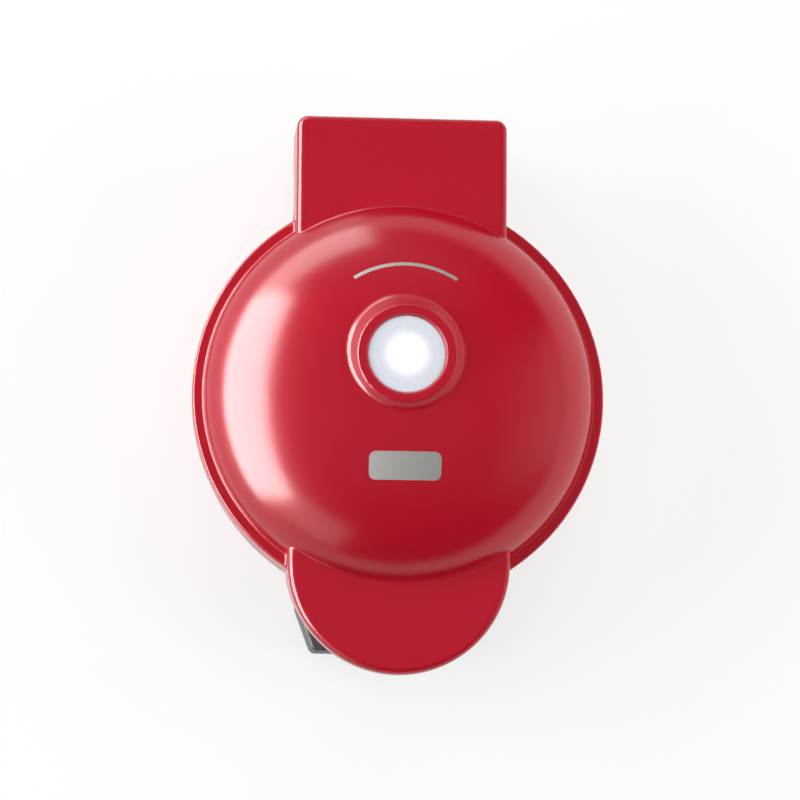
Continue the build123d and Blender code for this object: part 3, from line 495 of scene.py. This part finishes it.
def makeBadge():
    size = badge
    shape = bmesh.new()
    bmesh.ops.create_cube(shape, size=1.0)
    thick = size["thick"] + size["sunk"]
    bmesh.ops.scale(shape, verts=shape.verts, vec=(size["length"] * mm, size["height"] * mm, thick * mm))
    uprights = [e for e in shape.edges if abs(e.verts[0].co.z - e.verts[1].co.z) > size["level"] * mm]
    bmesh.ops.bevel(shape, geom=uprights, offset=size["corner"] * mm, offset_type="OFFSET", affect="EDGES",
                    segments=size["cornerSteps"], profile=0.5, material=-1)
    for axis, length in ((0, size["length"]), (1, size["height"])):
        normal = [0, 0, 0]
        normal[axis] = 1
        for i in range(1, int(length / size["cut"])):
            spot = [0, 0, 0]
            spot[axis] = (i * size["cut"] - length / 2) * mm
            bmesh.ops.bisect_plane(shape, geom=shape.verts[:] + shape.edges[:] + shape.faces[:],
                                   plane_co=spot, plane_no=normal)
    lift = (thick / 2 - size["sunk"]) * mm
    bmesh.ops.translate(shape, verts=shape.verts, vec=(size["centre"][0] * mm, size["centre"][1] * mm, lift))
    layOnDome(shape)
    makePiece(shape, "plainBadge", "lid", silverInk, sharpTurn["printed"])


arcMark = {"radius": 30.5, "width": 1.1, "thick": 0.08, "sunk": 0.05, "half": 33.0, "steps": 72,
           "centre": (0.0, 9.0)}


def makeArcMark():
    size = arcMark
    inner = size["radius"] - size["width"] / 2
    outer = size["radius"] + size["width"] / 2
    section = [(inner, -size["sunk"]), (outer, -size["sunk"]), (outer, size["thick"]), (inner, size["thick"]),
               (inner, -size["sunk"])]
    shape = spinOutline(section, size["steps"], radians(2 * size["half"]))
    bmesh.ops.holes_fill(shape, edges=shape.edges, sides=4)
    bmesh.ops.recalc_face_normals(shape, faces=shape.faces)
    turn = Matrix.Rotation(radians(90 - size["half"]), 3, "Z")
    bmesh.ops.rotate(shape, verts=shape.verts, cent=(0, 0, 0), matrix=turn)
    bmesh.ops.translate(shape, verts=shape.verts, vec=(size["centre"][0] * mm, size["centre"][1] * mm, 0))
    layOnDome(shape)
    makePiece(shape, "plainArcMark", "lid", silverInk, sharpTurn["printed"])


makeBadge()
makeArcMark()
print("marks made")


# plates, frames and latches with rounded edges: body, slot and radius in millimetres
edgeRadii = {
    "lower_plate": ("base", "grid_coating", 0.32), "upper_plate": ("lid", "grid_coating", 0.32),
    "base_frame": ("base", "dark_trim", 0.22), "lid_frame": ("lid", "dark_trim", 0.22),
    "lower_latch": ("lower_latch", "dark_latch", 0.2), "upper_latch": ("upper_latch", "dark_latch", 0.2),
    "hinge_bracket": ("base", "dark_trim", 0.3), "terminal_block": ("base", "terminal_white", 0.3),
}


def makeRoundedParts():
    for nodeName, (body, slotName, radius) in edgeRadii.items():
        shape = mergedCopy(nodes[nodeName].data)
        joinFlats(shape)
        piece = makePiece(shape, camelName(nodeName) + "Rounded", body, finish[slotName],
                          sharpTurn["copied"])
        roundEdges(piece, radius)
        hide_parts(nodeName)


makeRoundedParts()
print("plates, frames and latches made")


# the base narrows a little towards the floor, as a moulding has to. Lengths are in millimetres,
# and slope is how far a side moves in for each millimetre down
baseDraft = {"top": 41.4, "slope": 0.09, "most": 3.3, "from": 26.0, "full": 34.0, "bowlEnd": 55.0,
             "blockFront": 60.0, "bowlFoot": 6.0, "bowlFull": 20.0}


# how far a point of the base moves in towards the middle; the bowl's foot stays on the cover
def draftShift(x, y, z):
    form = baseDraft
    deep = min(form["slope"] * max(0.0, form["top"] - z), form["most"])
    share = min(1.0, max(0.0, (abs(x) - form["from"]) / (form["full"] - form["from"])))
    inBlock = min(1.0, max(0.0, (y - form["bowlEnd"]) / (form["blockFront"] - form["bowlEnd"])))
    upBowl = min(1.0, max(0.0, (z - form["bowlFoot"]) / (form["bowlFull"] - form["bowlFoot"])))
    deep *= inBlock + (1 - inBlock) * upBowl
    return -deep * share * share * (3 - 2 * share) * (1 if x > 0 else -1)


def makeBaseHousing():
    mesh = nodes["base_shell"].data.copy()
    normals = mesh.attributes.new("housingNormal", "FLOAT_VECTOR", "CORNER")
    for item, corner in zip(normals.data, mesh.corner_normals):
        item.vector = corner.vector
    shape = mergedCopy(mesh)
    for vert in shape.verts:
        vert.co.x += draftShift(*(vert.co / mm)) * mm
    piece = makePiece(shape, "baseHousing", "base", finish["red_housing"],
                      sharpTurn["copied"])
    # the curved faces keep the smooth shading that they have in the frame
    kept = [item.vector.normalized() for item in piece.data.attributes["housingNormal"].data]
    piece.data.attributes.remove(piece.data.attributes["housingNormal"])
    piece.data.normals_split_custom_set(kept)
    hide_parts("base_shell")


# the front foot runs straight out of the bowl and then tapers to its tip; in millimetres
coverForm = {"tipHalf": 25.6, "tipReach": 81.2, "slope": 0.397, "straightHalf": 31.0, "straightReach": 66.8,
             "rootReach": 45.0, "footFrom": 40.0, "plateRadius": 58.6, "rounding": 0.3}


def makeBottomCover():
    form = coverForm
    shape = mergedCopy(nodes["bottom_cover"].data)
    joinFlats(shape)
    footFaces = [face for face in shape.faces if all(v.co.y < -form["footFrom"] * mm for v in face.verts)]
    footGeometry = set(footFaces)
    for face in footFaces:
        footGeometry.update(face.edges)
        footGeometry.update(face.verts)
    bmesh.ops.bisect_plane(shape, geom=list(footGeometry), plane_co=(0, -form["straightReach"] * mm, 0),
                           plane_no=(0, 1, 0))
    for vert in shape.verts:
        x, y = vert.co.x / mm, vert.co.y / mm
        if -form["straightReach"] < y < -form["rootReach"] and sqrt(x * x + y * y) > form["plateRadius"]:
            vert.co.x *= form["straightHalf"] / (form["tipHalf"] + form["slope"] * (form["tipReach"] + y))
        elif y > baseDraft["blockFront"]:
            vert.co.x += draftShift(x, y, vert.co.z / mm) * mm
    piece = makePiece(shape, "bottomCoverFoot", "base", finish["dark_trim"], sharpTurn["copied"])
    roundEdges(piece, form["rounding"])
    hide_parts("bottom_cover")


makeBaseHousing()
makeBottomCover()
print("base made")


# pan-head screws with a cross recess, in millimetres; turnStep is in degrees
screwForm = {"head": 2.0, "headHigh": 1.2, "shank": 1.1, "tip": 0.4, "crown": 0.35, "crownSteps": 8,
             "crownShare": 0.94, "shoulder": 0.15, "chamfer": 0.1, "steps": 40, "slotWide": 0.55,
             "slotLong": 2.3, "slotDeep": 0.75, "slotTaper": 0.6, "turnStep": 17}


# one screw with its seat at zero; the recess is carved by two crossed wedges
def makeScrewMesh(length):
    form = screwForm
    high = form["headHigh"]
    steps = form["crownSteps"]
    side = high - form["crown"] - form["shoulder"]
    crown = [(form["head"] * i / steps * form["crownShare"], high - form["crown"] * (i / steps) ** 2)
             for i in range(steps + 1)]
    outline = crown + [
        (form["head"], side), (form["head"], form["chamfer"]), (form["head"] - form["chamfer"], 0),
        (form["shank"], 0), (form["shank"], -length + form["tip"]), (form["shank"] - form["tip"], -length),
        (0, -length)]
    turned = spinOutline(outline, form["steps"])
    mesh = bpy.data.meshes.new("screwBlank")
    turned.to_mesh(mesh)
    turned.free()
    blank = bpy.data.objects.new("screwBlank", mesh)
    cutter = bmesh.new()
    for turn in (0, 90):
        made = bmesh.ops.create_cube(cutter, size=1.0, matrix=Matrix.Rotation(radians(turn), 4, "Z"))["verts"]
        wide = (form["slotLong"], form["slotWide"]) if turn == 0 else (form["slotWide"], form["slotLong"])
        bmesh.ops.scale(cutter, verts=made, vec=(wide[0] * mm, wide[1] * mm, 2 * form["slotDeep"] * mm))
        for vert in made:
            if vert.co.z < 0:
                vert.co.x *= form["slotTaper"]
                vert.co.y *= form["slotTaper"]
    bmesh.ops.translate(cutter, verts=cutter.verts, vec=(0, 0, high * mm))
    cutMesh = bpy.data.meshes.new("screwCutter")
    cutter.to_mesh(cutMesh)
    cutter.free()
    cross = bpy.data.objects.new("screwCutter", cutMesh)
    for piece in (blank, cross):
        bpy.context.scene.collection.objects.link(piece)
    carve = blank.modifiers.new("recess", "BOOLEAN")
    carve.object = cross
    carve.use_self = True
    carved = bpy.data.meshes.new_from_object(blank.evaluated_get(bpy.context.evaluated_depsgraph_get()))
    for piece in (blank, cross):
        bpy.data.objects.remove(piece)
    return carved


# the base's screws stand head up and the lid's hang head down, each with its cross turned differently
def makeScrews():
    for name in sorted(n for n in nodes if "_screw_" in n):
        low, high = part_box(name)
        upright = name.startswith("base")
        length = (high.z - low.z) / mm - screwForm["headHigh"]
        shape = bmesh.new()
        shape.from_mesh(makeScrewMesh(length))
        turn = radians(screwForm["turnStep"] * len(name) % 90)
        bmesh.ops.rotate(shape, verts=shape.verts, cent=(0, 0, 0), matrix=Matrix.Rotation(turn, 3, "Z"))
        seat = high.z - screwForm["headHigh"] * mm
        if not upright:
            bmesh.ops.rotate(shape, verts=shape.verts, cent=(0, 0, 0), matrix=Matrix.Rotation(pi, 3, "X"))
            seat = low.z + screwForm["headHigh"] * mm
        middle = (low + high) / 2
        bmesh.ops.translate(shape, verts=shape.verts, vec=(middle.x, middle.y, seat))
        body = "base" if upright else "lid"
        piece = makePiece(shape, camelName(name), body, finish["screw_steel"])
        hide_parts(name)


makeScrews()
print("screws made")


# rubber feet with a rounded edge and a shallow hollow underneath, in millimetres
footForm = {"round": 0.9, "roundSteps": 6, "hollowRadius": 3.6, "hollowDeep": 0.5, "hollowRun": 0.6,
            "lipHigh": 0.05, "lipWide": 0.4, "steps": 64}


def makeFeet():
    form = footForm
    for name in sorted(n for n in nodes if n.startswith("rubber_foot")):
        low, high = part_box(name)
        radius = (high.x - low.x) / 2 / mm
        tall = high.z / mm
        outline = [(0, form["hollowDeep"]), (form["hollowRadius"] - form["hollowRun"], form["hollowDeep"]),
                   (form["hollowRadius"], form["lipHigh"]), (form["hollowRadius"] + form["lipWide"], 0)]
        outline += arcPoints((radius - form["round"], form["round"]), form["round"], -90, 0, form["roundSteps"])
        outline += [(radius, tall), (0, tall)]
        shape = spinOutline(outline, form["steps"])
        middle = (low + high) / 2
        bmesh.ops.translate(shape, verts=shape.verts, vec=(middle.x, middle.y, 0))
        pieceName = camelName(name.removeprefix("rubber_"))
        piece = makePiece(shape, pieceName, "base", finish["foot_rubber"])
        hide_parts(name)


makeFeet()
print("feet made")


# a square sheet; half its side in metres
floorForm = {"half": 3.0, "color": "#F9F9F9", "whiteShare": 0.7}


# the rays that show a background: the camera's own, and those that gloss and glass send on
def seenAsBackground(tree):
    ray = addNode(tree, "ShaderNodeLightPath")
    sentOn = addNode(tree, "ShaderNodeMath", {
        0: ray.outputs["Is Glossy Ray"], 1: ray.outputs["Is Transmission Ray"]}, 0, operation="MAXIMUM")
    return ray.outputs["Is Camera Ray"], sentOn


# white paper; the camera sees it part white of itself and part as lit, so the shadow stays
def makeFloor():
    shape = bmesh.new()
    bmesh.ops.create_grid(shape, x_segments=1, y_segments=1, size=floorForm["half"])
    mesh = bpy.data.meshes.new("floor")
    shape.to_mesh(mesh)
    shape.free()
    floor = bpy.data.objects.new("floor", mesh)
    bpy.context.scene.collection.objects.link(floor)
    material, tree, surface, _ = startMaterial("floorPaper", {
        "Roughness": 0.95, "Base Color": linearColor(floorForm["color"]), "Specular IOR Level": 0.0})
    white = addNode(tree, "ShaderNodeEmission", {"Color": (1, 1, 1, 1), "Strength": 1.0}, 0)
    direct, sentOn = seenAsBackground(tree)
    seen = addNode(tree, "ShaderNodeMath", {0: direct, 1: sentOn}, 0, operation="MAXIMUM")
    share = addNode(tree, "ShaderNodeMath", {0: seen, 1: floorForm["whiteShare"]}, 0, operation="MULTIPLY")
    mix = addNode(tree, "ShaderNodeMixShader", {0: share, 1: surface.outputs[0], 2: white}, 0)
    output = next(node for node in tree.nodes if node.type == "OUTPUT_MATERIAL")
    tree.links.new(mix, output.inputs[0])
    dress(floor, material)


# metres and watts; "gloss" lamps are seen in the plastic, "matte" ones only light it
lamps = {
    "leftSoftbox": {"from": (-1.0, 0.06, 0.44), "size": (1.75, 0.8), "power": 70.0,
                    "gloss": True, "matte": False},
    "rearLeftSoftbox": {"from": (-0.55, 1.05, 0.32), "size": (0.9, 0.5), "power": 7.5,
                        "gloss": True, "matte": False},
    "frontLeftSoftbox": {"from": (-0.75, -0.93, 0.62), "size": (0.8, 0.6), "power": 2.4,
                         "gloss": True, "matte": False},
    "rightSoftbox": {"from": (1.05, 0.1, 0.4), "size": (0.9, 0.4), "power": 0.45,
                     "gloss": True, "matte": False},
    "leftFill": {"from": (-1.0, 0.1, 0.55), "size": (1.3, 0.55), "power": 12.0,
                 "gloss": False, "matte": True},
    "rightFill": {"from": (1.3, -0.1, 0.8), "size": (1.2, 0.9), "power": 13.0,
                  "gloss": False, "matte": True},
    "rearFill": {"from": (0.1, 1.3, 0.9), "size": (1.2, 0.9), "power": 7.0,
                 "gloss": False, "matte": True},
    "overhead": {"from": (0.0, 0.0, 1.6), "size": (1.8, 1.8), "power": 9.2,
                 "gloss": False, "matte": True},
}
lampAim = (0, 0, 0.05)


def makeLamps():
    for name, lamp in lamps.items():
        light = bpy.data.lights.new(name, "AREA")
        light.shape = "RECTANGLE"
        light.size, light.size_y = lamp["size"]
        light.energy = lamp["power"]
        box = bpy.data.objects.new(name, light)
        place = Vector(lamp["from"])
        turn = (Vector(lampAim) - place).to_track_quat("-Z", "Y")
        box.matrix_world = Matrix.Translation(place) @ turn.to_matrix().to_4x4()
        box.visible_camera = False
        box.visible_glossy = lamp["gloss"]
        box.visible_diffuse = lamp["matte"]
        bpy.context.scene.collection.objects.link(box)


# room is what lights the object from all round; fadeFrom and fadeTo are sines of elevation
worldForm = {"room": 0.05, "fadeFrom": 0.1, "fadeTo": 0.22}


# a white backdrop stands all round; gloss and glass see it low down, with the dim room above it
def makeWorld():
    world = bpy.data.worlds.new("studio")
    world.use_nodes = True
    tree = world.node_tree
    tree.nodes.clear()
    look = addNode(tree, "ShaderNodeTexCoord", out="Generated")
    height = addNode(tree, "ShaderNodeSeparateXYZ", {0: look}, "Z")
    low = addNode(tree, "ShaderNodeMapRange", {
        "Value": height, "From Min": worldForm["fadeFrom"], "From Max": worldForm["fadeTo"],
        "To Min": 1.0, "To Max": 0.0}, 0)
    direct, sentOn = seenAsBackground(tree)
    lowSent = addNode(tree, "ShaderNodeMath", {0: sentOn, 1: low}, 0, operation="MULTIPLY")
    share = addNode(tree, "ShaderNodeMath", {0: direct, 1: lowSent}, 0, operation="MAXIMUM")
    room = addNode(tree, "ShaderNodeBackground", {"Color": (1, 1, 1, 1), "Strength": worldForm["room"]}, 0)
    white = addNode(tree, "ShaderNodeBackground", {"Color": (1, 1, 1, 1), "Strength": 1.0}, 0)
    mix = addNode(tree, "ShaderNodeMixShader", {0: share, 1: room, 2: white}, 0)
    addNode(tree, "ShaderNodeOutputWorld", {0: mix})
    bpy.context.scene.world = world


# measured on the photograph: the camera leans to the left of upright and towards the handle
cameraView = {"lean": (-0.0798, -0.1422), "aim": (0.46, -1.19, 51.0), "distance": 1200.0,
              "roll": 0.0074, "pixelsPerMm": 3.055, "sensor": 36.0, "pictureWidth": 800,
              "nearest": 0.01}


def makeCamera():
    view = cameraView
    away = Vector((*view["lean"], 1.0)).normalized()
    right = Vector((0, 1, 0)).cross(away).normalized()
    up = away.cross(right)
    turned = Matrix((right, up, away)).transposed() @ Matrix.Rotation(view["roll"], 3, "Z")
    data = bpy.data.cameras.new("camera")
    data.sensor_width = view["sensor"]
    data.lens = view["pixelsPerMm"] * view["distance"] * view["sensor"] / view["pictureWidth"]
    data.clip_start = view["nearest"]
    camera = bpy.data.objects.new("camera", data)
    spot = (Vector(view["aim"]) + away * view["distance"]) * mm
    camera.matrix_world = Matrix.Translation(spot) @ turned.to_4x4()
    bpy.context.scene.collection.objects.link(camera)
    bpy.context.scene.camera = camera


makeFloor()
makeLamps()
makeWorld()
makeCamera()
bpy.context.scene.view_settings.view_transform = "Standard"
print("stage made")
